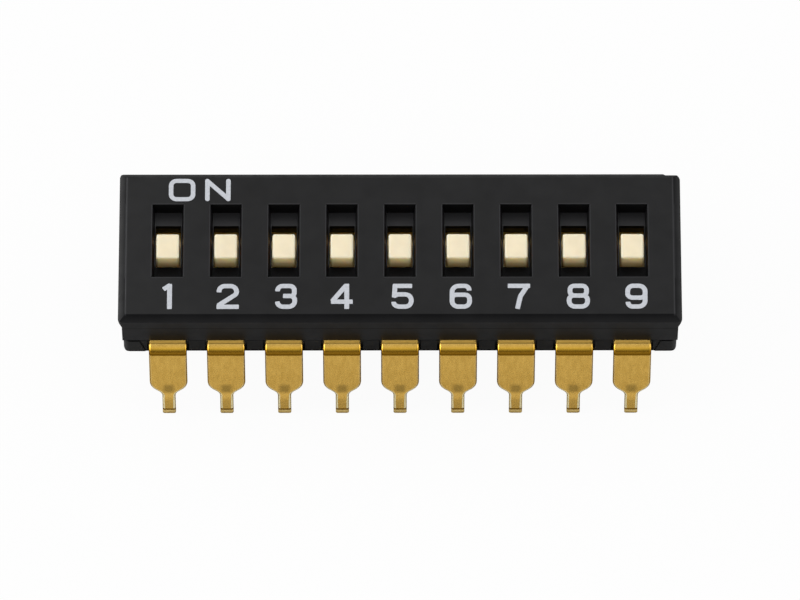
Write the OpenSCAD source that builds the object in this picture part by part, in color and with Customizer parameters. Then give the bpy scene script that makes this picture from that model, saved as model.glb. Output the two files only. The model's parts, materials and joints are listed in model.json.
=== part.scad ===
// DIP switch: nine slide switches side by side in one low housing, with two rows of leads.
// Millimetres. X runs along the switches from position 1 to position 9, Y points to the ON side,
// Z is up. The origin is midway between the two rows of leads, level with the tips of their pins.

/* [Housing] */
// Distance from one switch position to the next
pitch = 2.54; // [2.5:0.01:2.8]
// Solid end of the housing beyond the first and last position
end_margin = 0.71; // [0.6:0.01:1.6]
// Depth of the housing from front wall to rear wall
body_depth = 7.34; // [7:0.01:9]
// Height of the cover from the seam to its top face
cover_height = 1.92; // [1.9:0.01:2.6]
// Thickness of the cover's roof over the sliders
roof = 1.05; // [1:0.01:1.1]
// Height of the base from its underside to the seam
base_height = 1.16; // [0.9:0.01:1.5]
// Amount that the base is set back from the cover all round
base_inset = 0.03; // [0:0.01:0.08]
// Width of the bevel along the front and rear edges of the top face
top_bevel = 0.3; // [0.1:0.01:0.4]
// Height of that bevel
top_bevel_height = 0.26; // [0.1:0.01:0.4]
// Radius of the cover's upright corners
cover_corner = 0.2; // [0.08:0.01:0.3]
// Radius of the base's upright corners
base_corner = 0.3; // [0.1:0.01:0.4]
// Bevel around the underside of the base
base_bevel = 0.06; // [0.03:0.01:0.15]
// Height of the shadow gap around the base, under the cover
gap_height = 0.18; // [0.1:0.01:0.2]
// Depth of the shadow gap
gap_depth = 0.1; // [0.06:0.01:0.15]

/* [End ridges] */
// Distance that the ridge stands out from each end wall
ridge_out = 0.16; // [0.05:0.01:0.3]
// Width of the bevel on top of the ridge
ridge_bevel = 0.33; // [0.2:0.01:0.5]
// Height of the bevel on top of the ridge
ridge_bevel_height = 0.27; // [0.1:0.01:0.4]
// Height of the upright band of the ridge
ridge_band = 0.06; // [0.03:0.01:0.2]
// Height of the slope that runs back from the ridge to the end wall
ridge_return = 0.35; // [0.1:0.01:0.5]
// Depth of the small step that marks one rear corner
corner_step = 0.1; // [0.05:0.01:0.15]
// Length of the small step that marks one rear corner
corner_step_length = 0.74; // [0.4:0.01:1]

/* [Sliders] */
// Width of the knob along the switch row
knob_width = 1; // [0.8:0.01:1.1]
// Length of the knob in the direction that it slides
knob_length = 1.2; // [0.9:0.01:1.3]
// Radius of the knob's upright corners
knob_corner = 0.1; // [0.05:0.01:0.2]
// Depth of the knob's top below the top face
knob_recess = 0.02; // [0.01:0.01:0.1]
// Distance that a slider travels from OFF to ON
travel = 0.75; // [0.6:0.01:0.8]
// Distance that the foot stands out in front of and behind the knob
foot_step = 0.23; // [0.15:0.01:0.3]
// Distance that the roof overlaps the foot on each side of the window
foot_hold = 0.35; // [0.2:0.01:0.38]

/* [Slots] */
// Gap between the knob and each side of its slot at the top face
slot_gap = 0.19; // [0.12:0.01:0.22]
// Gap between the knob and each side of its slot at the ledges
ledge_gap = 0.09; // [0.06:0.01:0.12]
// Gap between the knob and each side of the window that it moves in
window_gap = 0.05; // [0.03:0.01:0.06]
// Length of the ledge in front of the window
front_ledge = 0.9; // [0.6:0.01:1]
// Length of the ledge behind the window
rear_ledge = 0.65; // [0.4:0.01:0.9]
// Depth of the ledges below the top face
ledge_drop = 0.82; // [0.6:0.01:0.9]

/* [Clearances] */
// Gap between a knob and the end of the window that stops it
stop_clearance = 0.05; // [0.03:0.01:0.06]
// Gap between a slider's foot and the wall that it slides towards, when the knob is stopped
foot_clearance = 0.08; // [0.07:0.01:0.1]
// Gap between a slider's foot and the walls beside it
side_clearance = 0.04; // [0.02:0.01:0.08]
// Gap between a slider's foot and the roof above it
roof_clearance = 0.03; // [0.02:0.01:0.06]
// Gap between a slider's underside and the base
floor_clearance = 0.06; // [0.03:0.01:0.1]
// Gap between a contact spring and the leads that it slides on
contact_clearance = 0.01; // [0.005:0.005:0.02]
// Gap around each lead in its channel, and around the tongues of the base
fit_clearance = 0.01; // [0.005:0.005:0.03]
// Gap on each side of a contact spring in its slider
pocket_clearance = 0.02; // [0.01:0.01:0.05]

/* [Leads] */
// Thickness of the lead strip
lead_thickness = 0.25; // [0.2:0.01:0.3]
// Width of the blade
blade_width = 1.66; // [1.4:0.01:1.8]
// Width of the contact pad inside the housing
pad_width = 1.3; // [1:0.01:1.4]
// Width of the solder pin
pin_width = 0.58; // [0.5:0.01:0.8]
// Straight run of the lead outside the wall, before it bends
lead_run = 0.05; // [0.02:0.01:0.3]
// Inside radius of the bend
lead_bend = 0.25; // [0.15:0.01:0.4]
// Angle that the leads lean outwards from upright
splay = 15; // [5:1:25]
// Length of the blade from the bend to its shoulders
blade_length = 1.83; // [1.2:0.01:2.5]
// Radius of the blade's rounded shoulders
shoulder_radius = 0.62; // [0.3:0.01:0.65]
// Radius of the fillets where the shoulders run into the pin
neck_radius = 0.4; // [0.2:0.01:0.45]
// Steepest slope of the shoulders, away from the line of the pin
shoulder_slope = 52; // [45:1:56]
// Length of the pin below the neck, with its tapered tip
pin_length = 1.15; // [1:0.01:3]
// Length of the tapered tip of the pin
tip_length = 0.3; // [0.2:0.01:0.5]
// Thickness of the tapered tip at its end
tip_thickness = 0.1; // [0.06:0.01:0.2]
// Radius of the corners at the end of the pin
tip_corner = 0.1; // [0.03:0.01:0.15]
// Length of wide strip that is held inside the wall
anchor_length = 1.2; // [0.8:0.05:1.4]

/* [Contact springs] */
// Width of the spring strip
contact_width = 0.8; // [0.5:0.01:1]
// Thickness of the spring strip
contact_thickness = 0.1; // [0.06:0.01:0.12]
// Inside radius of the spring's bends
contact_bend = 0.08; // [0.05:0.01:0.1]
// Steepness of the spring's arms
contact_slope = 70; // [60:1:78]
// Distance from the middle of the spring to each of its feet
contact_reach = 0.55; // [0.5:0.01:0.6]
// Depth of the pocket that holds the spring in its slider
pocket_depth = 0.55; // [0.45:0.01:0.65]
// Wall of the slider in front of and behind the pocket
pocket_wall = 0.12; // [0.08:0.01:0.15]
// Length of lead pad beyond the place where a foot of the spring rests on it
pad_margin = 0.15; // [0.1:0.01:0.2]

/* [Base details] */
// Depth that the walls between the leads are set back from the ends of the base
field_step = 0.05; // [0.02:0.01:0.1]
// Distance from the outer leads to the step in the wall, at the seam
field_margin_top = 0.46; // [0.3:0.01:0.55]
// Distance from the outer leads to the step in the wall, at the underside
field_margin_bottom = 0.15; // [0.12:0.01:0.25]
// Gap beside each lead in the pocket where it leaves the wall
lead_pocket_gap = 0.08; // [0.04:0.01:0.12]
// Depth of the pocket where a lead leaves the wall
lead_pocket_depth = 0.15; // [0.05:0.01:0.3]
// Thickness of wall left below each of those pockets
lead_pocket_floor = 0.12; // [0.08:0.01:0.2]
// Thickness of the tongue that locates the cover at each end
tongue_thickness = 0.3; // [0.2:0.01:0.4]
// Length of each tongue
tongue_length = 4; // [2:0.1:5]
// Height of each tongue above the seam
tongue_height = 0.6; // [0.3:0.01:0.9]

/* [Hidden] */
// Number of switch positions
positions = 9;
// Steps in a quarter circle, and in each arc of a lead's outline
$fn = 48;
arc_steps = 6;
// Amount that a cutting shape runs past the face it cuts
over = 0.2;

// Housing
body_length = positions * pitch + 2 * end_margin;
half_length = body_length / 2;
half_depth = body_depth / 2;
base_half_length = half_length - base_inset;
base_half_depth = half_depth - base_inset;

// Slider, slot and cavity, in the order that each one follows from the last
slot_width = knob_width + 2 * slot_gap;
ledge_width = knob_width + 2 * ledge_gap;
window_width = knob_width + 2 * window_gap;
window_front = -knob_length / 2 - stop_clearance;
window_rear = knob_length / 2 + travel + stop_clearance;
slot_front = window_front - front_ledge;
slot_rear = window_rear + rear_ledge;
foot_width = window_width + 2 * foot_hold;
foot_length = knob_length + 2 * foot_step;
cavity_width = foot_width + 2 * side_clearance;
cavity_front = -foot_length / 2 - foot_clearance;
cavity_rear = foot_length / 2 + travel + foot_clearance;
foot_height = cover_height - roof - roof_clearance - floor_clearance;

// Lead: how far its outer face drops from the seam to the tip of the pin
bend_angle = 90 - splay;
lead_radius = lead_bend + lead_thickness;
shoulder_drop = blade_width / 2 - pin_width / 2;
slope_width = shoulder_drop - (shoulder_radius + neck_radius) * (1 - cos(shoulder_slope));
neck_end = blade_length + (shoulder_radius + neck_radius) * sin(shoulder_slope)
    + slope_width / tan(shoulder_slope);
lead_end = neck_end + pin_length;
tip_depth = (lead_thickness + tip_thickness) / 2;
lead_drop = lead_radius * (1 - cos(bend_angle)) + lead_end * sin(bend_angle)
    + tip_depth * cos(bend_angle);

// Heights above the tips of the pins
seam_z = lead_drop;
base_z = seam_z - base_height;
top_z = seam_z + cover_height;
foot_z = seam_z + floor_clearance;

// Contact spring: the arm reaches from the pocket's roof to the leads
spring_drop = pocket_depth + floor_clearance - contact_clearance;
spring_radius = contact_bend + contact_thickness;
arm_length = (spring_drop - spring_radius * (2 - cos(contact_slope))
    + contact_bend * cos(contact_slope)) / sin(contact_slope);
crown_half = contact_reach - (spring_radius + contact_bend) * sin(contact_slope)
    - arm_length * cos(contact_slope);
foot_curl = 15;

// Inner ends of the lead pads: the spring's front foot stays over the front pad all the way,
// and its rear foot is over the rear pad only at ON
front_pad_end = travel - contact_reach + pad_margin;
rear_pad_end = travel + contact_reach - pad_margin;

function position_x(n) = (n - (positions + 1) / 2) * pitch;

// Points of an arc about [x, y], from angle a to angle b
function arc(x, y, r, a, b) = [
    for (i = [0:arc_steps]) let (t = a + (b - a) * i / arc_steps) [x + r * cos(t), y + r * sin(t)]
];

// Block with upright rounded corners, centred on the origin, standing on z
module rounded_block(length, depth, height, radius, z) {
    translate([0, 0, z + height / 2]) {
        cube([length - 2 * radius, depth, height], center = true);
        cube([length, depth - 2 * radius, height], center = true);
        for (x = [-1, 1], y = [-1, 1])
            translate([x * (length / 2 - radius), y * (depth / 2 - radius), 0])
                cylinder(h = height, r = radius, center = true);
    }
}

// Outline in X and Z, carried through the depth of the housing
module along_depth(depth, points) {
    rotate([90, 0, 0])
        linear_extrude(height = depth, center = true) polygon(points);
}

// Outline in Y and Z, carried along the length of the housing
module along_length(length, points) {
    rotate([90, 0, 90])
        linear_extrude(height = length, center = true) polygon(points);
}

// Strip of width w and thickness t with its top face at z = 0, running towards +Y.
// Whatever follows it starts at its far end.
module strip_run(length, w, t) {
    translate([-w / 2, 0, -t]) cube([w, length, t]);
    translate([0, length, 0]) children();
}

module strip_bend_down(angle, r, w, t) {
    translate([0, 0, -r - t]) {
        rotate([0, 90, 0]) rotate([0, 0, 180 - angle])
            rotate_extrude(angle = angle) translate([r, -w / 2]) square([t, w]);
        rotate([-angle, 0, 0]) translate([0, 0, r + t]) children();
    }
}

module strip_bend_up(angle, r, w, t) {
    translate([0, 0, r]) {
        rotate([0, 90, 0])
            rotate_extrude(angle = angle) translate([r, -w / 2]) square([t, w]);
        rotate([angle, 0, 0]) translate([0, 0, -r]) children();
    }
}

// ---- Cover ----

module cover_shell() {
    ridge_half = half_length + ridge_out;
    band_z = top_z - ridge_bevel_height;
    wall_z = band_z - ridge_band - ridge_return;
    end_side = [
        [ridge_half - ridge_bevel, top_z],
        [ridge_half, band_z],
        [ridge_half, band_z - ridge_band],
        [half_length, wall_z],
        [half_length, seam_z]
    ];
    front_side = [
        [half_depth - top_bevel, top_z],
        [half_depth, top_z - top_bevel_height],
        [half_depth, seam_z]
    ];
    intersection() {
        rounded_block(2 * ridge_half, body_depth, cover_height, cover_corner, seam_z);
        along_depth(body_depth, concat(end_side, mirrored(end_side)));
        along_length(2 * ridge_half, concat(front_side, mirrored(front_side)));
    }
}

// The same points on the other side of the middle, in reverse order
function mirrored(points) = [
    for (i = [len(points) - 1:-1:0]) [-points[i][0], points[i][1]]
];

// Slot with slanting sides down to the ledges, window through the roof, and cavity for the foot
module slot_cut() {
    draft = (slot_width - ledge_width) / 2 / ledge_drop;
    half_top = slot_width / 2 + draft * over;
    side = [[half_top, top_z + over], [ledge_width / 2, top_z - ledge_drop]];
    translate([0, (slot_front + slot_rear) / 2, 0])
        along_depth(slot_rear - slot_front, concat(side, mirrored(side)));
    translate([-window_width / 2, window_front, top_z - roof - over])
        cube([window_width, window_rear - window_front, roof - ledge_drop + 2 * over]);
    translate([-cavity_width / 2, cavity_front, seam_z - over])
        cube([cavity_width, cavity_rear - cavity_front, cover_height - roof + over]);
}

// Tongue of the base, or the recess for it in the cover, which is larger by gap
module tongues(gap) {
    outer_cavity = position_x(positions) + cavity_width / 2;
    tongue_x = (outer_cavity + half_length) / 2;
    for (side = [-1, 1])
        translate([side * tongue_x, 0, seam_z + tongue_height / 2 + gap / 2 - over / 2])
            cube([tongue_thickness + 2 * gap, tongue_length + 2 * gap, tongue_height + gap + over],
                center = true);
}

// Upright cut at one rear corner: a short slant down to the step, and a new rounded corner
module corner_cut() {
    step_y = half_depth - corner_step;
    end_x = half_length + ridge_out;
    start_x = end_x - corner_step_length;
    corner = arc(end_x - cover_corner, step_y - cover_corner, cover_corner, 90, 0);
    translate([0, 0, seam_z - over])
        linear_extrude(height = cover_height + 2 * over)
            polygon(concat(
                [[start_x, half_depth + over], [start_x, half_depth], [start_x + corner_step, step_y]],
                corner,
                [[end_x + over, step_y - cover_corner], [end_x + over, half_depth + over]]
            ));
}

module cover() {
    color([0.15, 0.15, 0.16])
    difference() {
        cover_shell();
        for (n = [1:positions]) translate([position_x(n), 0, 0]) slot_cut();
        tongues(fit_clearance);
        corner_cut();
    }
}

// ---- Base ----

// Outline of one side of the base, from the seam down to the underside
function base_side(half) = [
    [half - gap_depth, seam_z],
    [half - gap_depth, seam_z - gap_height],
    [half, seam_z - gap_height],
    [half, base_z + base_bevel],
    [half - base_bevel, base_z]
];

module base_block() {
    end_side = base_side(base_half_length);
    front_side = base_side(base_half_depth);
    intersection() {
        rounded_block(2 * base_half_length, 2 * base_half_depth, base_height, base_corner, base_z);
        along_depth(body_depth, concat(end_side, mirrored(end_side)));
        along_length(body_length, concat(front_side, mirrored(front_side)));
    }
}

// Wall between the leads, set back with slanting ends
module lead_field() {
    outer_blade = position_x(positions) + blade_width / 2;
    top = outer_blade + field_margin_top;
    bottom = outer_blade + field_margin_bottom;
    for (side = [-1, 1])
        translate([0, side * (base_half_depth - field_step + over / 2), 0])
            along_depth(over, [[top, seam_z], [bottom, base_z], [-bottom, base_z], [-top, seam_z]]);
}

// Channels in the top of the base, and the pockets where the leads come out
module lead_cuts() {
    gap = 2 * fit_clearance;
    pocket = [blade_width + 2 * lead_pocket_gap, lead_pocket_depth + field_step + over,
        base_height - lead_pocket_floor + over];
    for (n = [1:positions], row = ["front", "rear"])
        place_lead(n, row) {
            lead_strip(row, gap, over);
            translate([-pocket[0] / 2, base_half_depth - field_step - lead_pocket_depth,
                lead_pocket_floor - base_height])
                cube(pocket);
        }
}

module base() {
    color([0.13, 0.13, 0.125])
    difference() {
        union() {
            base_block();
            tongues(0);
        }
        lead_field();
        lead_cuts();
    }
}

// ---- Leads ----

// Front leads run towards -Y and rear leads towards +Y, both with their top face on the seam
module place_lead(n, row) {
    translate([position_x(n), 0, seam_z])
        rotate([0, 0, row == "front" ? 180 : 0]) children();
}

// Flat strip inside the housing: the contact pad and the wide anchor in the wall.
// With gap and rise it is the channel that the strip lies in.
module lead_strip(row, gap, rise) {
    inner = row == "front" ? -front_pad_end : rear_pad_end;
    anchor = half_depth - anchor_length;
    height = lead_thickness + rise;
    translate([-(pad_width + gap) / 2, inner, -lead_thickness])
        cube([pad_width + gap, anchor - inner, height]);
    translate([-(blade_width + gap) / 2, anchor, -lead_thickness])
        cube([blade_width + gap, anchor_length, height]);
}

// Outline of the blade and pin, with the blade starting at y = 0
module lead_outline() {
    half_blade = blade_width / 2;
    half_pin = pin_width / 2;
    side = concat(
        [[half_blade, 0]],
        arc(half_blade - shoulder_radius, blade_length, shoulder_radius, 0, shoulder_slope),
        arc(half_pin + neck_radius, neck_end, neck_radius, 180 + shoulder_slope, 180),
        arc(half_pin - tip_corner, lead_end - tip_corner, tip_corner, 0, 90)
    );
    translate([0, 0, -lead_thickness - over])
        linear_extrude(height = lead_thickness + 2 * over)
            polygon(concat(side, mirrored(side)));
}

// Side view of the blade and pin: both faces draw in towards the tip
module lead_side() {
    taper = (lead_thickness - tip_thickness) / 2;
    along_length(blade_width + 2 * over, [
        [0, 0],
        [lead_end - tip_length, 0],
        [lead_end, -taper],
        [lead_end, -lead_thickness + taper],
        [lead_end - tip_length, -lead_thickness],
        [0, -lead_thickness]
    ]);
}

module lead(row) {
    color([0.75, 0.6, 0.3]) {
        lead_strip(row, 0, 0);
        translate([0, half_depth, 0])
            strip_run(lead_run, blade_width, lead_thickness)
                strip_bend_down(bend_angle, lead_bend, blade_width, lead_thickness)
                    intersection() {
                        lead_outline();
                        lead_side();
                    }
    }
}

module front_terminal(n) {
    place_lead(n, "front") lead("front");
}

module rear_terminal(n) {
    place_lead(n, "rear") lead("rear");
}

// ---- Sliders and contact springs ----

module slider(n) {
    knob_height = roof + roof_clearance - knob_recess;
    pocket_length = foot_length - 2 * pocket_wall;
    pocket_width = contact_width + 2 * pocket_clearance;
    color([0.93, 0.88, 0.75])
    translate([position_x(n), 0, foot_z])
        difference() {
            union() {
                translate([0, 0, foot_height / 2])
                    cube([foot_width, foot_length, foot_height], center = true);
                rounded_block(knob_width, knob_length, knob_height, knob_corner, foot_height);
            }
            translate([-pocket_width / 2, -pocket_length / 2, -over])
                cube([pocket_width, pocket_length, pocket_depth + over]);
        }
}

// Half of the spring: flat crown, arm down to the lead, and a foot that curls up again
module spring_half() {
    w = contact_width;
    t = contact_thickness;
    strip_run(crown_half, w, t)
        strip_bend_down(contact_slope, contact_bend, w, t)
            strip_run(arm_length, w, t)
                strip_bend_up(contact_slope + foot_curl, contact_bend, w, t);
}

module contact(n) {
    color([0.8, 0.68, 0.35])
    translate([position_x(n), 0, foot_z + pocket_depth]) {
        spring_half();
        rotate([0, 0, 180]) spring_half();
    }
}

cover();
base();
for (n = [1:positions]) {
    slider(n);
    contact(n);
    front_terminal(n);
    rear_terminal(n);
}
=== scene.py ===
import json
from math import radians, tan

import bmesh
import bpy
from bpy.props import FloatProperty, FloatVectorProperty, PointerProperty
from mathutils import Matrix, Vector

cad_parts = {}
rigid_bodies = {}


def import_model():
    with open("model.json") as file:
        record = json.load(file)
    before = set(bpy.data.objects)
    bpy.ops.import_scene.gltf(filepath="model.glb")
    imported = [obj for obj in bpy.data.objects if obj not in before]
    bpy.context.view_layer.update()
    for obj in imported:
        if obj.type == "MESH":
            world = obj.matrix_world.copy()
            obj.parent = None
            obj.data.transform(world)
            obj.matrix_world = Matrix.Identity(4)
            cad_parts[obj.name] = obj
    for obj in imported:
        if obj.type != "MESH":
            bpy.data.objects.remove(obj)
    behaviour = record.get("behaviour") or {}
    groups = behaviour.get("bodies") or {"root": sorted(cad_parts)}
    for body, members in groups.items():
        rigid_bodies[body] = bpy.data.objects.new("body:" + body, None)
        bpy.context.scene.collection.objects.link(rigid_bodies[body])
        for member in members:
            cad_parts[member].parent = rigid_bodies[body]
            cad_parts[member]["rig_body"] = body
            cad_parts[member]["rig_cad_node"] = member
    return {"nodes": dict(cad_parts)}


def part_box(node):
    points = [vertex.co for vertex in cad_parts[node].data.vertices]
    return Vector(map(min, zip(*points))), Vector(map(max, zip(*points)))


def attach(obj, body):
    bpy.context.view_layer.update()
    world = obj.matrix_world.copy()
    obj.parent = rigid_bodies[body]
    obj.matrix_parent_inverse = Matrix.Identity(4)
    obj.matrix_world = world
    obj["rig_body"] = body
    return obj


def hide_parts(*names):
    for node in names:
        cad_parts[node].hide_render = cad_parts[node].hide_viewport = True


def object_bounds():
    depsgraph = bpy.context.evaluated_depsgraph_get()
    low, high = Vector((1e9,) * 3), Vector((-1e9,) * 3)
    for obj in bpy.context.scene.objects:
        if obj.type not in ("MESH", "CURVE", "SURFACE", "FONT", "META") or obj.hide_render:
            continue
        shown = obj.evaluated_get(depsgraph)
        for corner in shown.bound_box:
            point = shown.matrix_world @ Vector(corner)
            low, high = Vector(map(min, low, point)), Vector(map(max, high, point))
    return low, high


bl_info = {
    "name": "DIP switch",
    "version": (1, 0, 0),
    "blender": (4, 5, 0),
    "location": "3D View > Sidebar > DIP switch",
    "description": "Finishes a DIP switch: housing, sliders, leads, print and studio",
    "category": "Object",
}

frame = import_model()
CAD_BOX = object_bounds()

MM = 0.001
HAIR = 0.001 * MM  # points nearer to each other than this are one
HOUSING = "housing"
NODES = sorted(frame["nodes"])
POSITIONS = range(1, 1 + sum(node.startswith("slider_") for node in NODES))
COVER_LOW, COVER_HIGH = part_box("cover")
BASE_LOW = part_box("base")[0]
LEAD_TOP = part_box("front_terminal_1")[1].z


def switch_body(position):
    return f"switch_{position}"


def slot_x(position):
    """Middle of a position along the row."""
    low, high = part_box(f"slider_{position}")
    return (low.x + high.x) / 2


PITCH = slot_x(2) - slot_x(1)

# ------------------------------------------------------------------------------------------
# Sizes and colours that a user would change
# ------------------------------------------------------------------------------------------


class DipSwitchSizes(bpy.types.PropertyGroup):
    """Rounding of the edges, and sizes of the print"""

    housing_edge: FloatProperty(
        name="Housing edge", description="Width of the rounding on the edges of the housing",
        default=0.045 * MM, min=0, unit="LENGTH", precision=6)
    knob_edge: FloatProperty(
        name="Knob edge", description="Width of the rounding around the top of each knob",
        default=0.08 * MM, min=0, unit="LENGTH", precision=6)
    slider_edge: FloatProperty(
        name="Slider edge", description="Width of the rounding on the other edges of a slider",
        default=0.025 * MM, min=0, unit="LENGTH", precision=6)
    lead_edge: FloatProperty(
        name="Lead edge", description="Width of the rolled edge along each lead",
        default=0.12 * MM, min=0, unit="LENGTH", precision=6)
    tip_edge: FloatProperty(
        name="Tip edge", description="Width of the rounding on the tapered tip of a pin",
        default=0.03 * MM, min=0, unit="LENGTH", precision=6)
    ink_height: FloatProperty(
        name="Ink height", description="Height of the print above the cover",
        default=0.01 * MM, min=0, unit="LENGTH", precision=6)
    ink_stroke: FloatProperty(
        name="Ink stroke", description="Width of the strokes of the numbers",
        default=0.21 * MM, min=0, unit="LENGTH", precision=6)
    on_stroke: FloatProperty(
        name="ON stroke", description="Width of the strokes of the word ON",
        default=0.2 * MM, min=0, unit="LENGTH", precision=6)
    ink_corner: FloatProperty(
        name="Ink corner", description="Radius of the outside corners of the print",
        default=0.035 * MM, min=0, unit="LENGTH", precision=6)
    number_row: FloatProperty(
        name="Number row", description="Distance of the numbers in front of the middle",
        default=2.515 * MM, unit="LENGTH", precision=6)
    number_shift: FloatProperty(
        name="Number shift", description="Distance of the numbers to the right of their slots",
        default=0.11 * MM, unit="LENGTH", precision=6)
    on_row: FloatProperty(
        name="ON row", description="Distance of the word ON behind the middle",
        default=2.755 * MM, unit="LENGTH", precision=6)
    on_shift: FloatProperty(
        name="ON shift", description="Distance of the word ON to the right of the first slot",
        default=1.39 * MM, unit="LENGTH", precision=6)
    on_pitch: FloatProperty(
        name="ON pitch", description="Distance between the middles of the O and the N",
        default=1.57 * MM, unit="LENGTH", precision=6)


class DipSwitchColours(bpy.types.PropertyGroup):
    """Colours of the finishes"""

    cover: FloatVectorProperty(
        name="Cover", description="Black moulding of the cover",
        default=(0.0056, 0.0056, 0.006), subtype="COLOR", min=0, max=1)
    base: FloatVectorProperty(
        name="Base", description="Black moulding of the base",
        default=(0.0052, 0.0052, 0.0052), subtype="COLOR", min=0, max=1)
    slider: FloatVectorProperty(
        name="Sliders", description="Cream moulding of the sliders",
        default=(0.675, 0.595, 0.43), subtype="COLOR", min=0, max=1)
    lead: FloatVectorProperty(
        name="Leads", description="Gold plating of the leads",
        default=(0.69, 0.434, 0.102), subtype="COLOR", min=0, max=1)
    contact: FloatVectorProperty(
        name="Contacts", description="Spring brass of the contacts",
        default=(0.7, 0.5, 0.2), subtype="COLOR", min=0, max=1)
    ink: FloatVectorProperty(
        name="Ink", description="White ink of the print",
        default=(0.415, 0.43, 0.462), subtype="COLOR", min=0, max=1)


class DipSwitchStudio(bpy.types.PropertyGroup):
    """Camera, floor and light"""

    elevation: FloatProperty(
        name="Elevation", description="Height of the camera above the level",
        default=radians(62.4), subtype="ANGLE")
    roll: FloatProperty(
        name="Roll", description="Turn of the camera about its line of sight",
        default=radians(-0.045), subtype="ANGLE")
    distance: FloatProperty(
        name="Distance", description="Distance from the camera to its aim",
        default=400 * MM, unit="LENGTH", precision=4)
    lens: FloatProperty(
        name="Lens", description="Focal length of the camera in millimetres", default=411.6)
    aim_drop: FloatProperty(
        name="Aim drop", description="Distance of the aim below the middle of the cover",
        default=2.387 * MM, unit="LENGTH", precision=6)
    floor_size: FloatProperty(
        name="Floor size", description="Length of each side of the floor",
        default=6.0, unit="LENGTH")
    sky_strength: FloatProperty(
        name="Sky strength", description="Brightness of the soft light from above",
        default=0.535, min=0)
    front_strength: FloatProperty(
        name="Front strength", description="Further brightness of the light above and in front",
        default=0.28, min=0)
    low_strength: FloatProperty(
        name="Low front strength", description="Further brightness of the light low in front",
        default=0.25, min=0)
    back_strength: FloatProperty(
        name="Back strength", description="Further brightness of the light above and behind",
        default=1.35, min=0)
    left_strength: FloatProperty(
        name="Left strength", description="Brightness of the soft light low on the left",
        default=4.8, min=0)
    right_strength: FloatProperty(
        name="Right strength", description="Brightness of the soft light low on the right",
        default=2.4, min=0)
    horizon_strength: FloatProperty(
        name="Horizon strength", description="Brightness of the room around the switch",
        default=0.12, min=0)


# ------------------------------------------------------------------------------------------
# Small tools
# ------------------------------------------------------------------------------------------


def select_only(*objects):
    bpy.ops.object.select_all(action="DESELECT")
    for obj in objects:
        obj.select_set(True)
    bpy.context.view_layer.objects.active = objects[-1]


def edit(obj):
    select_only(obj)
    bpy.ops.object.mode_set(mode="EDIT")


def leave_edit():
    bpy.ops.object.mode_set(mode="OBJECT")
    bpy.context.view_layer.update()


def select_parts(kind, wanted):
    """Selects the vertices, edges or faces of the mesh in edit mode that a test picks out."""
    obj = bpy.context.edit_object
    bpy.ops.mesh.select_mode(type=kind)
    bpy.ops.mesh.select_all(action="DESELECT")
    mesh = bmesh.from_edit_mesh(obj.data)
    parts = {"VERT": mesh.verts, "EDGE": mesh.edges, "FACE": mesh.faces}[kind]
    count = 0
    for part in parts:
        if wanted(part):
            part.select_set(True)
            count += 1
    mesh.select_flush_mode()
    bmesh.update_edit_mesh(obj.data)
    return count


def named(obj, name):
    obj.name = name
    obj.data.name = name
    return obj


def cut_across(piece, x):
    """Cuts a piece's faces on a plane across the row, and keeps the cut as a seam."""
    edit(piece)
    bpy.ops.mesh.select_mode(type="EDGE")
    bpy.ops.mesh.select_all(action="SELECT")
    bpy.ops.mesh.bisect(plane_co=(x, 0, 0), plane_no=(1, 0, 0))
    bpy.ops.mesh.mark_seam()
    leave_edit()


# Turns between two faces: within one flat face, at a fairly sharp edge, and at a sharp edge
FLAT = radians(0.5)
BENT = radians(30)
SHARP = radians(40)


def copy_of(node, name, cuts=()):
    """A free copy of a CAD node, its loose triangles merged into whole faces.

    A face with holes is first cut through them, so that each part of it stays simple."""
    select_only(frame["nodes"][node])
    bpy.ops.object.duplicate()
    piece = named(bpy.context.active_object, name)
    piece.parent = None
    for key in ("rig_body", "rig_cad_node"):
        del piece[key]
    edit(piece)
    bpy.ops.mesh.select_all(action="SELECT")
    bpy.ops.mesh.customdata_custom_splitnormals_clear()
    bpy.ops.mesh.remove_doubles(threshold=HAIR)
    leave_edit()
    for x in cuts:
        cut_across(piece, x)
    edit(piece)
    bpy.ops.mesh.select_all(action="SELECT")
    bpy.ops.mesh.dissolve_limited(angle_limit=FLAT, delimit={"SEAM"})
    leave_edit()
    return piece


def apply_modifiers(piece):
    select_only(piece)
    for modifier in list(piece.modifiers):
        bpy.ops.object.modifier_apply(modifier=modifier.name)


def round_edges(piece, width):
    """Rounds every fairly sharp edge of a piece, and shades the piece smooth."""
    select_only(piece)
    bpy.ops.object.shade_smooth()
    bpy.ops.object.modifier_add(type="BEVEL")
    bevel = piece.modifiers[-1]
    bevel.width = width
    bevel.segments = 2
    bevel.limit_method = "ANGLE"
    bevel.angle_limit = BENT
    bevel.miter_outer = "MITER_ARC"
    bevel.harden_normals = True
    apply_modifiers(piece)


def bevel_parts(piece, width, segments, wanted):
    """Rounds the sharp edges of a piece that a test picks out."""
    edit(piece)
    found = select_parts("EDGE", lambda edge: (
        len(edge.link_faces) == 2 and edge.calc_face_angle() > SHARP and wanted(edge)))
    if not found:
        raise RuntimeError(f"{piece.name} has no edge to round")
    bpy.ops.mesh.bevel(offset=width, segments=segments, affect="EDGES")
    leave_edit()


def shade_flats_flat(piece):
    """Shades a piece smooth, with its wide faces kept flat."""
    select_only(piece)
    bpy.ops.object.shade_smooth()
    bpy.ops.object.modifier_add(type="WEIGHTED_NORMAL")
    apply_modifiers(piece)


def place(piece, x, y, z):
    """Moves a piece and puts the move into its mesh."""
    select_only(piece)
    bpy.ops.transform.translate(value=(x, y, z))
    bpy.ops.object.transform_apply(location=True, rotation=True, scale=True)


def joined(pieces, name):
    select_only(*pieces)
    if len(pieces) > 1:
        bpy.ops.object.join()
    return named(bpy.context.active_object, name)


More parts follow.
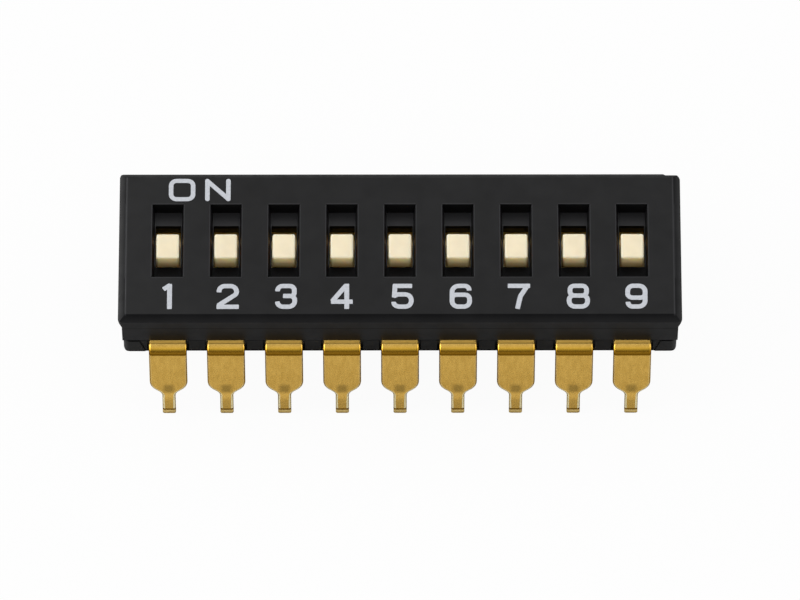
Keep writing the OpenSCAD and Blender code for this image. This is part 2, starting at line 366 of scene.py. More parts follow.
def hand_over(piece, finish, body, slot, *nodes):
    """Gives a finished piece its material and body, and hides the nodes it stands for."""
    piece.data.materials.clear()
    piece.data.materials.append(finish)
    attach(piece, body)
    if nodes:
        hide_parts(*nodes)


# ------------------------------------------------------------------------------------------
# Finishes
# ------------------------------------------------------------------------------------------


# The values between which a cloudy pattern mostly lies, and the turns from the eye between
# which a gloss changes
CLOUDS = (0.35, 0.65)
ASLANT = (0.2, 0.54)


class Finish:
    """A material with one shader, fed by patterns in the object's own coordinates."""

    def __init__(self, name, **values):
        self.material = bpy.data.materials.new(name)
        self.material.use_nodes = True
        tree = self.material.node_tree
        self.nodes = tree.nodes
        self.links = tree.links
        self.shader = self.nodes["Principled BSDF"]
        self.place = self.nodes.new("ShaderNodeTexCoord").outputs["Object"]
        for socket, value in values.items():
            self.shader.inputs[socket.replace("_", " ")].default_value = value

    def noise(self, grain, detail, stretch=(1, 1, 1)):
        """A cloudy pattern with features about one grain across."""
        mapping = self.nodes.new("ShaderNodeMapping")
        mapping.inputs["Scale"].default_value = [along / grain for along in stretch]
        self.links.new(self.place, mapping.inputs["Vector"])
        noise = self.nodes.new("ShaderNodeTexNoise")
        noise.inputs["Scale"].default_value = 1.0
        noise.inputs["Detail"].default_value = detail
        self.links.new(mapping.outputs["Vector"], noise.inputs["Vector"])
        return noise.outputs["Fac"]

    def spread(self, pattern, low, high, start=CLOUDS[0], end=CLOUDS[1]):
        """Spreads a pattern between two numbers."""
        node = self.nodes.new("ShaderNodeMapRange")
        node.inputs["From Min"].default_value = start
        node.inputs["From Max"].default_value = end
        node.inputs["To Min"].default_value = low
        node.inputs["To Max"].default_value = high
        self.links.new(pattern, node.inputs["Value"])
        return node.outputs["Result"]

    def blend(self, pattern, low, high, start=CLOUDS[0], end=CLOUDS[1]):
        """Blends two colours, or two colour patterns, by a third pattern."""
        node = self.nodes.new("ShaderNodeMixRGB")
        for socket, colour in (("Color1", low), ("Color2", high)):
            if isinstance(colour, bpy.types.NodeSocket):
                self.links.new(colour, node.inputs[socket])
            else:
                node.inputs[socket].default_value = (*colour, 1)
        self.links.new(self.spread(pattern, 0, 1, start, end), node.inputs["Fac"])
        return node.outputs["Color"]

    def coat(self, skin, colour, where):
        """Lays a colour over a skin, where a pattern is one."""
        return self.blend(where, skin, colour, 0, 1)

    def along(self, axis):
        """The place along one axis of the object."""
        axes = self.nodes.new("ShaderNodeSeparateXYZ")
        self.links.new(self.place, axes.inputs["Vector"])
        return axes.outputs[axis]

    def work(self, operation, *values):
        """Works on patterns and numbers with one sum."""
        node = self.nodes.new("ShaderNodeMath")
        node.operation = operation
        for socket, value in zip(node.inputs, values):
            if isinstance(value, bpy.types.NodeSocket):
                self.links.new(value, socket)
            else:
                socket.default_value = value
        return node.outputs["Value"]

    def centred(self, place, pitch):
        """The place beside the nearest of a row of things that stand a pitch apart."""
        return self.work("WRAP", place, pitch / 2, -pitch / 2)

    def band(self, place, middle, half, full=0.4):
        """One over the full part of a band, fading to zero at its sides."""
        offset = self.work("ABSOLUTE", self.work("SUBTRACT", place, middle))
        return self.spread(offset, 1, 0, half * full, half)

    def both(self, first, second):
        """One where both of two patterns are one."""
        return self.work("MULTIPLY", first, second)

    def facing(self, towards, away):
        """A level of gloss that changes as the surface turns away from the eye."""
        turn = self.nodes.new("ShaderNodeLayerWeight")
        turn.inputs["Blend"].default_value = 0.5
        return self.spread(turn.outputs["Facing"], towards, away, *ASLANT)

    def turn(self, attribute, side):
        """How far a surface has turned from a side of its piece, by the way that an attribute
        of its mesh says it faces."""
        way = self.nodes.new("ShaderNodeAttribute")
        way.attribute_name = attribute
        unit = self.nodes.new("ShaderNodeVectorMath")
        unit.operation = "NORMALIZE"
        self.links.new(way.outputs["Vector"], unit.inputs[0])
        nearness = self.nodes.new("ShaderNodeVectorMath")
        nearness.operation = "DOT_PRODUCT"
        nearness.inputs[1].default_value = side
        self.links.new(unit.outputs["Vector"], nearness.inputs[0])
        return self.work("SUBTRACT", 1, self.work("ABSOLUTE", nearness.outputs["Value"]))

    def feed(self, socket, pattern):
        self.links.new(pattern, self.shader.inputs[socket])

    def relief(self, pattern, depth, strength):
        """Raises the surface by a pattern, by a depth in metres."""
        bump = self.nodes.new("ShaderNodeBump")
        bump.inputs["Distance"].default_value = depth
        bump.inputs["Strength"].default_value = strength
        self.links.new(pattern, bump.inputs["Height"])
        self.feed("Normal", bump.outputs["Normal"])


def shade(colour, factor):
    return tuple(min(1.0, part * factor) for part in colour)


def tinted(colour, tint):
    return tuple(part * share for part, share in zip(colour, tint))


# The rims of the ridges and the slots, painted paler as painted highlights: half their width,
# their reach down the walls, how much paler the painted highlights are, where they lie, and how
# much of their length is full
RIM = 0.05 * MM
RIM_REACH = 0.08 * MM
RIM_HIGHLIGHT = 3.4
RIDGE_WIDTH = 0.33 * MM
SLOT_HALF_WIDTH = 0.69 * MM
SLOT_MIDDLE = 0.25 * MM
SLOT_HALF_LENGTH = 1.8 * MM
CRISP = 0.98

# The ledges in the slots: their depth below the top face, where the rear ones lie and how much
# paler painted light makes them, and where the front ones end
LEDGE_DEPTH = (0.82 * MM, 0.03 * MM)
REAR_LEDGES = (1.75 * MM, 0.45 * MM, 0.85)
LEDGE_PAINTED_LIGHT = 5.2
FRONT_LEDGES_END = (-0.7 * MM, -0.5 * MM)

# The walls of the cavities, with a warm glow painted on them as light from the cream sliders in
# them: their place from front to rear and in depth, and the tint of this painted glow. Then the
# length of the housing beyond the cavities at each end
CAVITY_PLACE = (0.5 * MM, 1.4 * MM, 0.95)
CAVITY_DEPTH = (1.1 * MM, 1.3 * MM)
CAVITY_PAINTED_GLOW = (0.07, 0.062, 0.025)
END_WALL = 1.0 * MM

# Gloss of the black plastic, square on and aslant, and its share low and high on the bevels,
# left and further right on the top face, on the front ledges, and under the base
GLOSS = (0.11, 0.06)
BEVEL_SHARE = (1.4, 0.2)
TOP_SHARE = (1.38, 1.1)
LEDGE_SHARE = 0.3
UNDERSIDE_SHARE = 0.1

# Height of the bevels and of the rounding above them, the length over which the gloss of the
# top face falls, and the heights above the underside between which the gloss begins
BEVEL_DROP = 0.27 * MM
EDGE_DROP = 0.02 * MM
TOP_RUN = 5 * MM
UNDERSIDE_RISE = (0.08 * MM, 0.18 * MM)

# The walls of the slots that the knobs rub bright: their place from front to rear, across a
# slot and below the top face, and their gloss
RUBBED_PLACE = (0, 0.65 * MM, 0.8)
RUBBED_ACROSS = (0.62 * MM, 0.09 * MM, 0.9)
RUBBED_DEPTH = (0.45 * MM, 0.42 * MM, 0.9)
RUBBED_GLOSS = 0.35


def beside_slot_middle(finish):
    """The distance to the left or right of the middle of the nearest slot."""
    return finish.work("ABSOLUTE", finish.centred(finish.along("X"), PITCH))


def below_top(finish):
    """The depth below the top face."""
    return finish.work("SUBTRACT", COVER_HIGH.z, finish.along("Z"))


def at_ledges(finish):
    """One at the height of the ledges in the slots."""
    return finish.band(finish.along("Z"), COVER_HIGH.z - LEDGE_DEPTH[0], LEDGE_DEPTH[1])


def between_end_walls(finish):
    """One along the row of slots, and zero at the two ends of the housing."""
    return finish.band(finish.along("X"), 0, COVER_HIGH.x - END_WALL, full=0.99)


def rim_highlights(finish):
    """A pattern of thin lines around the slots and along the ridges of the cover, where the painted
    highlights lie.
    """
    across = beside_slot_middle(finish)
    outwards = finish.work("ABSOLUTE", finish.along("X"))
    beside = finish.work("ABSOLUTE", finish.work("SUBTRACT", finish.along("Y"), SLOT_MIDDLE))
    ridges = finish.band(outwards, COVER_HIGH.x - RIDGE_WIDTH, RIM)
    sides = finish.both(
        finish.band(across, SLOT_HALF_WIDTH, RIM),
        finish.band(beside, 0, SLOT_HALF_LENGTH, CRISP))
    ends = finish.both(
        finish.band(beside, SLOT_HALF_LENGTH, RIM),
        finish.band(across, 0, SLOT_HALF_WIDTH, CRISP))
    lines = finish.work("MAXIMUM", ridges, finish.work("MAXIMUM", sides, ends))
    return finish.both(lines, finish.band(finish.along("Z"), COVER_HIGH.z, RIM_REACH))


def satin_gloss(finish):
    """The gloss of the black plastic: more low on its bevels, and most where the knobs rub."""
    height = finish.along("Z")
    bevel_low = COVER_HIGH.z - BEVEL_DROP
    bevel_high = COVER_HIGH.z - EDGE_DROP
    # a share of one on the walls, which the first pattern limits from the foot of the bevels up
    bevels = finish.work(
        "MINIMUM", finish.spread(height, *BEVEL_SHARE, bevel_low, bevel_high),
        finish.spread(height, 1, 2, bevel_low - EDGE_DROP, bevel_low))
    top = finish.both(
        finish.spread(height, 0, 1, bevel_high, COVER_HIGH.z - EDGE_DROP / 2),
        finish.spread(finish.along("X"), *TOP_SHARE, COVER_LOW.x, COVER_LOW.x + TOP_RUN))
    gloss = finish.both(finish.facing(*GLOSS), finish.work("MAXIMUM", bevels, top))
    front_ledges = finish.both(
        at_ledges(finish), finish.spread(finish.along("Y"), 1, 0, *FRONT_LEDGES_END))
    gloss = finish.both(gloss, finish.spread(front_ledges, 1, LEDGE_SHARE, 0, 1))
    gloss = finish.both(gloss, finish.spread(
        height, UNDERSIDE_SHARE, 1, *(BASE_LOW.z + rise for rise in UNDERSIDE_RISE)))
    rubbed = finish.both(
        finish.band(beside_slot_middle(finish), *RUBBED_ACROSS),
        finish.band(below_top(finish), *RUBBED_DEPTH))
    rubbed = finish.both(finish.band(finish.along("Y"), *RUBBED_PLACE), rubbed)
    rubbed = finish.both(rubbed, between_end_walls(finish))
    return finish.work("MAXIMUM", gloss, finish.spread(rubbed, 0, RUBBED_GLOSS, 0, 1))


def black_moulding(name, colour):
    """Satin black plastic: faint cloudy flow, a fine spark-eroded grain, painted light on the rear
    ledges, a painted glow on the cavity walls and painted highlights on the rims.
    """
    finish = Finish(name, Specular_IOR_Level=GLOSS[0])
    finish.feed("Specular IOR Level", satin_gloss(finish))
    skin = finish.blend(
        finish.noise(grain=1.3 * MM, detail=3.0), shade(colour, 0.85), shade(colour, 1.15))
    # painted light that makes the rear ledges paler
    rear_ledges = finish.both(at_ledges(finish), finish.band(finish.along("Y"), *REAR_LEDGES))
    skin = finish.coat(skin, shade(colour, LEDGE_PAINTED_LIGHT), rear_ledges)
    # a painted warm glow on the walls of the cavities, as light from the cream sliders
    within = finish.both(
        finish.band(finish.along("Y"), *CAVITY_PLACE), between_end_walls(finish))
    cavities = finish.both(within, finish.spread(below_top(finish), 0, 1, *CAVITY_DEPTH))
    skin = finish.coat(skin, CAVITY_PAINTED_GLOW, cavities)
    # painted highlights along the rims of the slots and the ridges
    skin = finish.coat(skin, shade(colour, RIM_HIGHLIGHT), rim_highlights(finish))
    finish.feed("Base Color", skin)
    finish.feed("Roughness", finish.spread(finish.noise(grain=0.6 * MM, detail=4.0), 0.3, 0.4))
    finish.relief(finish.noise(grain=0.035 * MM, detail=3.0), depth=0.0012 * MM, strength=0.8)
    return finish.material


# The sides of the knobs, with painted light near their top and painted shade deeper down: the
# depths at which they begin and at which the painted light gives way to the painted shade, and
# these two tints
SIDES_BEGIN = (0.05 * MM, 0.16 * MM)
SIDES_DEEPEN = (0.35 * MM, 0.95 * MM)
SIDE_PAINTED_LIGHT = (1.44, 1.34, 1.02)
SIDE_PAINTED_SHADE = (0.95, 0.7, 0.3)


def cream_moulding(colour):
    """Smooth cream plastic that carries a little light through it, with painted light and painted
    shade on the sides of the knobs.
    """
    finish = Finish(
        "cream_moulding", Subsurface_Weight=0.8, Subsurface_Scale=0.45 * MM,
        Subsurface_Radius=(1.0, 0.8, 0.6), Specular_IOR_Level=0.4)
    flow = finish.blend(
        finish.noise(grain=0.5 * MM, detail=2.0), shade(colour, 0.97), shade(colour, 1.02))
    depth = below_top(finish)
    # the sides of the knobs: painted light below their top, and painted shade deeper down
    sides = finish.blend(
        depth, tinted(colour, SIDE_PAINTED_LIGHT), tinted(colour, SIDE_PAINTED_SHADE), *SIDES_DEEPEN)
    finish.feed("Base Color", finish.blend(depth, flow, sides, *SIDES_BEGIN))
    finish.feed(
        "Roughness", finish.spread(finish.noise(grain=0.12 * MM, detail=3.0), 0.3, 0.42))
    finish.relief(finish.noise(grain=0.05 * MM, detail=2.0), depth=0.0008 * MM, strength=0.5)
    return finish.material


# Painted marks on a lead, as depths below the top of its strip: each with half its width, and
# the share of it that is full. Painted shade lies along the bend, in its crease, above each pin and
# where the tip begins; a painted reflection tint lies over the bend; a painted highlight (the
# glint) lies on the pin, and another at the root
BEND_SHADE_BAND = (0.265 * MM, 0.13 * MM)
CREASE = (0.365 * MM, 0.085 * MM)
BEND = (0.21 * MM, 0.18 * MM, 0.5)
CROWN = (2.5 * MM, 0.34 * MM)
CROWN_HALF_WIDTH = 0.32 * MM
GLINT = (2.9 * MM, 0.34 * MM, 0.3)
PIN_TIP = (3.79 * MM, 0.06 * MM)
ROOT = (0.0, 0.03 * MM)

# The depths between which the streaks of the blade give way to painted shade that darkens the
# pin below them, where the tip tapers, and how far the end of the shank and the rims of the
# shoulders take to fade
STREAKS_END = (3.4 * MM, 3.1 * MM)
TAPER = 3.85 * MM
TAPER_FADE = 0.01 * MM
SHANK_FADE = 0.03 * MM
SHOULDER_FADE = 0.3 * MM

# The line of painted shade along the top of the bend: its distance out from the wall, half its
# width, and what its pattern would have to reach to cover the plating
BEND_LINE = (0.15 * MM, 0.04 * MM)
BEND_LINE_FULL = 1.6

# The show side of a lead, up and outwards. How far a rolled edge has turned from it where it
# gets a painted highlight, then painted shade, then painted light again, how much later the
# painted shade comes on a pin, and how much of this is left on the blade
ROLL = "roll"
SHOW_SIDE = (0, -0.463, 0.886)
PALE_TURN = (0.335, 0.355)
DARK_TURN = (0.39, 0.48)
LIGHT_TURN = (0.56, 0.66)
PIN_LATE = 0.09
BLADE_SHARE = 0.2

# Tints of the plating: its streaks, then painted shade for the lines along the bend, its crease
# and tip and the rolled edges, and a painted reflection tint over the bend. Then the painted
# highlight and painted light of the rolled edges, and the painted highlights at the root and on
# the tapered tip
STREAK_TINT = (0.92, 0.9, 0.84)
BEND_SHADE_TINT = (0.45, 0.36, 0.12)
DARK_TINT = (0.26, 0.2, 0.06)
EDGE_SHADE_TINT = (0.55, 0.46, 0.2)
BEND_REFLECTION_TINT = (0.84, 0.79, 0.36)
EDGE_HIGHLIGHT = (1.0, 0.9, 0.56)
EDGE_LIGHT = (1.0, 0.82, 0.45)
ROOT_HIGHLIGHT = (0.84, 0.62, 0.18)
TIP_HIGHLIGHT = (0.82, 0.63, 0.28)
ROOT_ROUGHNESS = 0.85


def gold_plating(colour):
    """Gold over rolled strip: drawn streaks, satin grain, and painted shade, highlights and
    reflection tints on the bend, pin, tip and rolled edges.
    """
    finish = Finish("gold_plating", Metallic=1.0, Specular_Tint=(0.3, 0.22, 0.08, 1))
    height = finish.along("Z")

    def mark(depth, *band):
        """One in a band at a depth below the top of the strip."""
        return finish.band(height, LEAD_TOP - depth, *band)

    bend_shade = tinted(colour, BEND_SHADE_TINT)
    dark = tinted(colour, DARK_TINT)
    streaks = finish.blend(
        finish.noise(grain=0.16 * MM, detail=4.0, stretch=(1, 1, 0.15)),
        tinted(colour, STREAK_TINT), shade(colour, 1.06))
    # below the streaks the pin is painted darker, as painted shade
    skin = finish.blend(
        height, shade(colour, 0.9), streaks, *(LEAD_TOP - depth for depth in STREAKS_END))
    # a painted highlight (the glint) on the pin
    skin = finish.coat(skin, shade(colour, 1.2), mark(*GLINT))
    # a painted reflection tint, deeper gold, over the bend
    skin = finish.coat(skin, tinted(colour, BEND_REFLECTION_TINT), mark(*BEND))
    # a painted highlight on the tapered tip
    skin = finish.blend(height, TIP_HIGHLIGHT, skin, LEAD_TOP - TAPER, LEAD_TOP - TAPER + TAPER_FADE)
    # painted shade above each pin
    crown = finish.both(mark(*CROWN), finish.band(
        finish.centred(finish.along("X"), PITCH), 0, CROWN_HALF_WIDTH))
    skin = finish.coat(skin, shade(colour, 0.6), crown)

    tip = LEAD_TOP - PIN_TIP[0]
    shoulders = LEAD_TOP - CROWN[0]
    shank = finish.spread(height, 0, 1, tip, tip + SHANK_FADE)
    on_pin = finish.both(
        shank, finish.spread(height, 1, BLADE_SHARE, shoulders, shoulders + SHOULDER_FADE))
    turn = finish.turn(ROLL, SHOW_SIDE)
    late = finish.work("SUBTRACT", turn, finish.both(on_pin, PIN_LATE))
    # a painted highlight, painted shade and painted light across the rolled edges
    for shown, turned, limits, tone in (
            (on_pin, turn, PALE_TURN, EDGE_HIGHLIGHT),
            (shank, late, DARK_TURN, tinted(colour, EDGE_SHADE_TINT)),
            (shank, turn, LIGHT_TURN, EDGE_LIGHT)):
        skin = finish.coat(skin, tone, finish.both(shown, finish.spread(turned, 0, 1, *limits)))

    # painted shade along the bend
    skin = finish.coat(skin, bend_shade, mark(*BEND_SHADE_BAND))
    # painted shade in the crease of the bend and where the tip begins
    skin = finish.coat(skin, dark, mark(*CREASE))
    skin = finish.coat(skin, dark, mark(*PIN_TIP))
    # a painted highlight at the root of the lead
    root = mark(*ROOT)
    skin = finish.coat(skin, ROOT_HIGHLIGHT, root)
    # painted shade along the top of the bend, next to the wall
    outwards = finish.work("ABSOLUTE", finish.along("Y"))
    line = finish.band(outwards, COVER_HIGH.y + BEND_LINE[0], BEND_LINE[1])
    finish.feed("Base Color", finish.blend(line, skin, bend_shade, 0, BEND_LINE_FULL))
    satin = finish.spread(finish.noise(grain=0.07 * MM, detail=4.0), 0.24, 0.34)
    finish.feed("Roughness", finish.work(
        "MAXIMUM", satin, finish.spread(root, 0, ROOT_ROUGHNESS, 0, 1)))
    finish.relief(
        finish.noise(grain=0.05 * MM, detail=4.0, stretch=(1, 1, 0.4)), depth=0.0008 * MM,
        strength=0.3)
    return finish.material


def spring_brass(colour):
    """Rolled spring brass with a fine grain along the strip."""
    finish = Finish("spring_brass", Metallic=1.0)
    drawn = (4, 1, 4)
    finish.feed("Base Color", finish.blend(
        finish.noise(grain=0.15 * MM, detail=3.0, stretch=drawn), shade(colour, 0.85), colour))
    finish.feed("Roughness", finish.spread(
        finish.noise(grain=0.06 * MM, detail=3.0, stretch=drawn), 0.25, 0.4))
    finish.relief(
        finish.noise(grain=0.04 * MM, detail=2.0, stretch=drawn), depth=0.001 * MM, strength=0.5)
    return finish.material


def printed_ink(colour):
    """Matt white ink, slightly uneven in cover."""
    finish = Finish("printed_ink", Specular_IOR_Level=0.25)
    finish.feed("Base Color", finish.blend(
        finish.noise(grain=0.1 * MM, detail=3.0), shade(colour, 0.93), shade(colour, 1.06)))
    finish.feed("Roughness", finish.spread(finish.noise(grain=0.05 * MM, detail=2.0), 0.5, 0.65))
    finish.relief(finish.noise(grain=0.03 * MM, detail=2.0), depth=0.001 * MM, strength=0.6)
    return finish.material


# ------------------------------------------------------------------------------------------
# Print: the middle lines of the strokes, in millimetres, each point with its corner radius
# ------------------------------------------------------------------------------------------

# Half width and half height of a number, to the middle of its strokes, and to its outside
W = 0.38
H = 0.51
TOP = 0.618

NUMBER_STROKES = {
    "1": [
        [(0, TOP, 0), (0, -TOP, 0)],
        [(0.04, 0.57, 0), (-0.1, 0.47, 0.1), (-0.275, 0.345, 0)],
    ],
    "2": [
        [(-W, 0.2, 0), (-W, H, 0.25), (W, H, 0.27), (W, 0.12, 0.2), (-0.42, -0.45, 0)],
        [(-0.487, -H, 0), (0.487, -H, 0)],
    ],
    "3": [
        [(-0.37, 0.25, 0), (-0.37, H, 0.22), (0.36, H, 0.2), (0.36, 0.02, 0.16),
         (-0.13, 0.02, 0)],
        [(0.02, 0.02, 0), (W, 0.02, 0.2), (W, -H, 0.27), (-W, -H, 0.26), (-W, -0.25, 0)],
    ],
    "4": [
        [(0.108, TOP, 0), (0.108, -TOP, 0)],
        [(0.07, 0.53, 0), (-0.53, -0.25, 0)],
        [(0.37, -0.263, 0), (-0.58, -0.263, 0)],
    ],
    "5": [
        [(0.42, H, 0), (-0.42, H, 0)],
        [(-0.32, 0.6, 0), (-0.36, -0.06, 0)],
        [(-0.4, 0, 0), (-0.2, 0.095, 0.15), (W, 0.095, 0.27), (W, -H, 0.27), (-W, -H, 0.27),
         (-W, -0.27, 0)],
    ],
    "6": [
        [(0.37, 0.28, 0), (0.36, H, 0.2), (-0.377, H, 0.29), (-0.377, -0.1, 0)],
        [(0, 0.075, 0), (-W, 0.075, 0.2), (-W, -H, 0.27), (W, -H, 0.25), (W, 0.075, 0.2),
         (0, 0.075, 0)],
    ],
    "7": [
        [(0.487, H, 0), (-0.487, H, 0)],
        [(0.395, 0.56, 0), (0.06, 0, 0.4), (-0.075, -TOP, 0)],
    ],
    "8": [
        [(0.045, H, 0), (-0.315, H, 0.19), (-0.315, 0.03, 0.19), (0.405, 0.03, 0.19),
         (0.405, H, 0.19), (0.045, H, 0)],
        [(0.045, 0.03, 0), (-0.355, 0.03, 0.2), (-0.355, -H, 0.26), (0.445, -H, 0.26),
         (0.445, 0.03, 0.2), (0.045, 0.03, 0)],
    ],
    "9": [
        [(-0.33, -0.28, 0), (-0.32, -H, 0.2), (0.417, -H, 0.29), (0.417, 0.1, 0)],
        [(0.04, -0.075, 0), (0.42, -0.075, 0.2), (0.42, H, 0.27), (-0.34, H, 0.25),
         (-0.34, -0.075, 0.2), (0.04, -0.075, 0)],
    ],
}

LETTER_STROKES = {
    "O": [
        [(0, 0.455, 0), (-0.482, 0.455, 0.24), (-0.482, -0.455, 0.24), (0.482, -0.455, 0.24),
         (0.482, 0.455, 0.24), (0, 0.455, 0)],
    ],
    "N": [
        [(-0.4585, -0.5515, 0), (-0.4585, 0.5515, 0)],
        [(-0.5357, 0.5188, 0), (0.5357, -0.5188, 0)],
        [(0.4585, -0.5515, 0), (0.4585, 0.5515, 0)],
    ],
}
ROUND_ENDED = "N"
CORNER_STEPS = 6
ROUND_STEPS = 12
STROKE_STEP = 0.0005 * MM
END_TURN = radians(50)
ROUND_SHARE = 0.49


def flat_nib(width, low, high):
    """An upright rectangle between two heights, for the section of a stroke."""
    bpy.ops.object.select_all(action="DESELECT")
    bpy.ops.mesh.primitive_plane_add(size=1)
    nib = named(bpy.context.active_object, "nib")
    edit(nib)
    bpy.ops.mesh.select_all(action="SELECT")
    bpy.ops.transform.resize(value=(width, high - low, 1))
    bpy.ops.transform.translate(value=(0, (low + high) / 2, 0))
    bpy.ops.mesh.delete(type="ONLY_FACE")
    leave_edit()
    bpy.ops.object.convert(target="CURVE")
    return nib


def turn_at(before, corner, after):
    """Distance from a corner at which an arc of radius one meets its two sides."""
    angle = (before - corner).angle(after - corner)
    return 1 / tan(angle / 2)


def drawn_line(points):
    """A wire drawn out from point to point, its corners then rounded to their radii."""
    spots = [Vector((x, y, 0)) * MM for x, y, _ in points]
    bpy.ops.object.select_all(action="DESELECT")
    bpy.ops.mesh.primitive_plane_add(size=MM)
    wire = bpy.context.active_object
    edit(wire)
    bpy.ops.mesh.select_mode(type="VERT")
    bpy.ops.mesh.select_all(action="SELECT")
    bpy.ops.mesh.merge(type="CENTER")
    bpy.ops.transform.translate(value=spots[0])
    for here, there in zip(spots, spots[1:]):
        bpy.ops.mesh.extrude_vertices_move(TRANSFORM_OT_translate={"value": there - here})
    bpy.ops.mesh.select_all(action="SELECT")
    bpy.ops.mesh.remove_doubles(threshold=HAIR)
    for i, (x, y, radius) in enumerate(points):
        if radius > 0:
            corner = spots[i]
            select_parts("VERT", lambda vert: (vert.co - corner).length < HAIR)
            bpy.ops.mesh.bevel(
                offset=radius * MM * turn_at(spots[i - 1], corner, spots[i + 1]),
                segments=CORNER_STEPS, affect="VERTICES", clamp_overlap=False)
    leave_edit()
    return wire


def stroke(points, width, low, high):
    """A solid stroke of ink along a line, between two heights."""
    nib = flat_nib(width, low, high)
    wire = drawn_line(points)
    bpy.ops.object.convert(target="CURVE")
    wire.data.dimensions = "3D"
    wire.data.twist_mode = "Z_UP"
    wire.data.bevel_mode = "OBJECT"
    wire.data.bevel_object = nib
    wire.data.use_fill_caps = True
    bpy.ops.object.convert(target="MESH")
    bpy.data.objects.remove(nib)
    return wire


def unite(piece, part):
    """Adds a solid to a piece, and removes what was inside either of them."""
    select_only(piece)
    bpy.ops.object.modifier_add(type="BOOLEAN")
    boolean = piece.modifiers[-1]
    boolean.operation = "UNION"
    boolean.solver = "EXACT"
    boolean.object = part
    apply_modifiers(piece)
    bpy.data.objects.remove(part)


def soften_ends(part, height, corner, steps):
    """Merges a stroke's loose ends and rounds the upright edges of its two ends."""
    edit(part)
    bpy.ops.mesh.select_all(action="SELECT")
    bpy.ops.mesh.remove_doubles(threshold=HAIR)
    bpy.ops.mesh.normals_make_consistent(inside=False)
    ends = select_parts("EDGE", lambda edge: (
        abs(edge.verts[0].co.z - edge.verts[1].co.z) > height / 2
        and edge.calc_face_angle(0) > END_TURN))
    if ends:
        bpy.ops.mesh.bevel(offset=corner, segments=steps, affect="EDGES")
    leave_edit()


def glyph(name, strokes, width, height, corner):
    """One number or letter, its strokes united into one solid with softened ends.

    Each stroke is a hair thicker than the last, so that no two of their faces coincide."""
    rounding = (ROUND_SHARE * width, ROUND_STEPS) if name in ROUND_ENDED else (corner, CORNER_STEPS)
    parts = []
    for i, points in enumerate(strokes):
        part = stroke(points, width, -i * STROKE_STEP, height + i * STROKE_STEP)
        soften_ends(part, height, *rounding)
        parts.append(part)
    piece = named(parts[0], f"glyph_{name}")
    for part in parts[1:]:
        unite(piece, part)
    return piece


# ------------------------------------------------------------------------------------------
# Operators: one for each piece or group of like pieces, and one for the stage
# ------------------------------------------------------------------------------------------


# Faces across the rounding of a knob, of the rolled edge of a lead, and of its tip
KNOB_STEPS = 5
ROLL_STEPS = 4
TIP_STEPS = 2

# How far the rolled edge of a lead reaches below the start of its taper
TIP_MARGIN = 0.1 * MM


class DIPSWITCH_OT_cover(bpy.types.Operator):
    """Finishes the cover: rounded edges in satin black plastic"""

    bl_idname = "dip_switch.cover"
    bl_label = "Cover"

    def execute(self, context):
        scene = context.scene
        cover = copy_of("cover", "cover_moulding", [slot_x(n) for n in POSITIONS])
        round_edges(cover, scene.dip_sizes.housing_edge)
        finish = black_moulding("cover_black", scene.dip_colours.cover)
        hand_over(cover, finish, HOUSING, "cover_plastic", "cover")
        return {"FINISHED"}


class DIPSWITCH_OT_base(bpy.types.Operator):
    """Finishes the base: rounded edges in satin black plastic"""

    bl_idname = "dip_switch.base"
    bl_label = "Base"

    def execute(self, context):
        scene = context.scene
        base = copy_of("base", "base_moulding", [slot_x(n) for n in POSITIONS])
        round_edges(base, scene.dip_sizes.housing_edge)
        finish = black_moulding("base_black", scene.dip_colours.base)
        hand_over(base, finish, HOUSING, "base_plastic", "base")
        return {"FINISHED"}


class DIPSWITCH_OT_sliders(bpy.types.Operator):
    """Finishes the sliders: soft-edged knobs in cream plastic"""

    bl_idname = "dip_switch.sliders"
    bl_label = "Sliders"

    def execute(self, context):
        scene = context.scene
        finish = cream_moulding(scene.dip_colours.slider)
        for position in POSITIONS:
            node = f"slider_{position}"
            slider = copy_of(node, f"slider_{position}_moulding")
            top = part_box(node)[1].z
            edit(slider)
            rim = select_parts("EDGE", lambda edge: all(
                abs(vert.co.z - top) < HAIR for vert in edge.verts)
                and edge.calc_face_angle(0) > BENT)
            if not rim:
                raise RuntimeError(f"{node} has no edge around its top")
            bpy.ops.mesh.bevel(
                offset=scene.dip_sizes.knob_edge, segments=KNOB_STEPS, affect="EDGES")
            leave_edit()
            round_edges(slider, scene.dip_sizes.slider_edge)
            hand_over(slider, finish, switch_body(position), "slider_plastic", node)
        return {"FINISHED"}


def keep_roll(lead, side):
    """Keeps the way that each corner of a lead faces, as on a lead of the front row."""
    roll = lead.data.attributes.new(ROLL, "FLOAT_VECTOR", "CORNER")
    for kept, normal in zip(roll.data, lead.data.corner_normals):
        kept.vector = (normal.vector.x, normal.vector.y * side, normal.vector.z)


def above_the_tip(edge):
    """Whether an edge of a lead lies above the end of its pin."""
    return all(vert.co.z > LEAD_TOP - TAPER - TIP_MARGIN for vert in edge.verts)


def on_the_tip(edge):
    return not above_the_tip(edge)


class DIPSWITCH_OT_leads(bpy.types.Operator):
    """Finishes the leads: rolled edges in gold plating"""

    bl_idname = "dip_switch.leads"
    bl_label = "Leads"

    def execute(self, context):
        sizes = context.scene.dip_sizes
        finish = gold_plating(context.scene.dip_colours.lead)
        for row, side in (("front", 1), ("rear", -1)):
            for position in POSITIONS:
                node = f"{row}_terminal_{position}"
                lead = copy_of(node, f"{row}_lead_{position}")
                bevel_parts(lead, sizes.lead_edge, ROLL_STEPS, above_the_tip)
                bevel_parts(lead, sizes.tip_edge, TIP_STEPS, on_the_tip)
                shade_flats_flat(lead)
                keep_roll(lead, side)
                hand_over(lead, finish, HOUSING, "lead_metal", node)
        return {"FINISHED"}


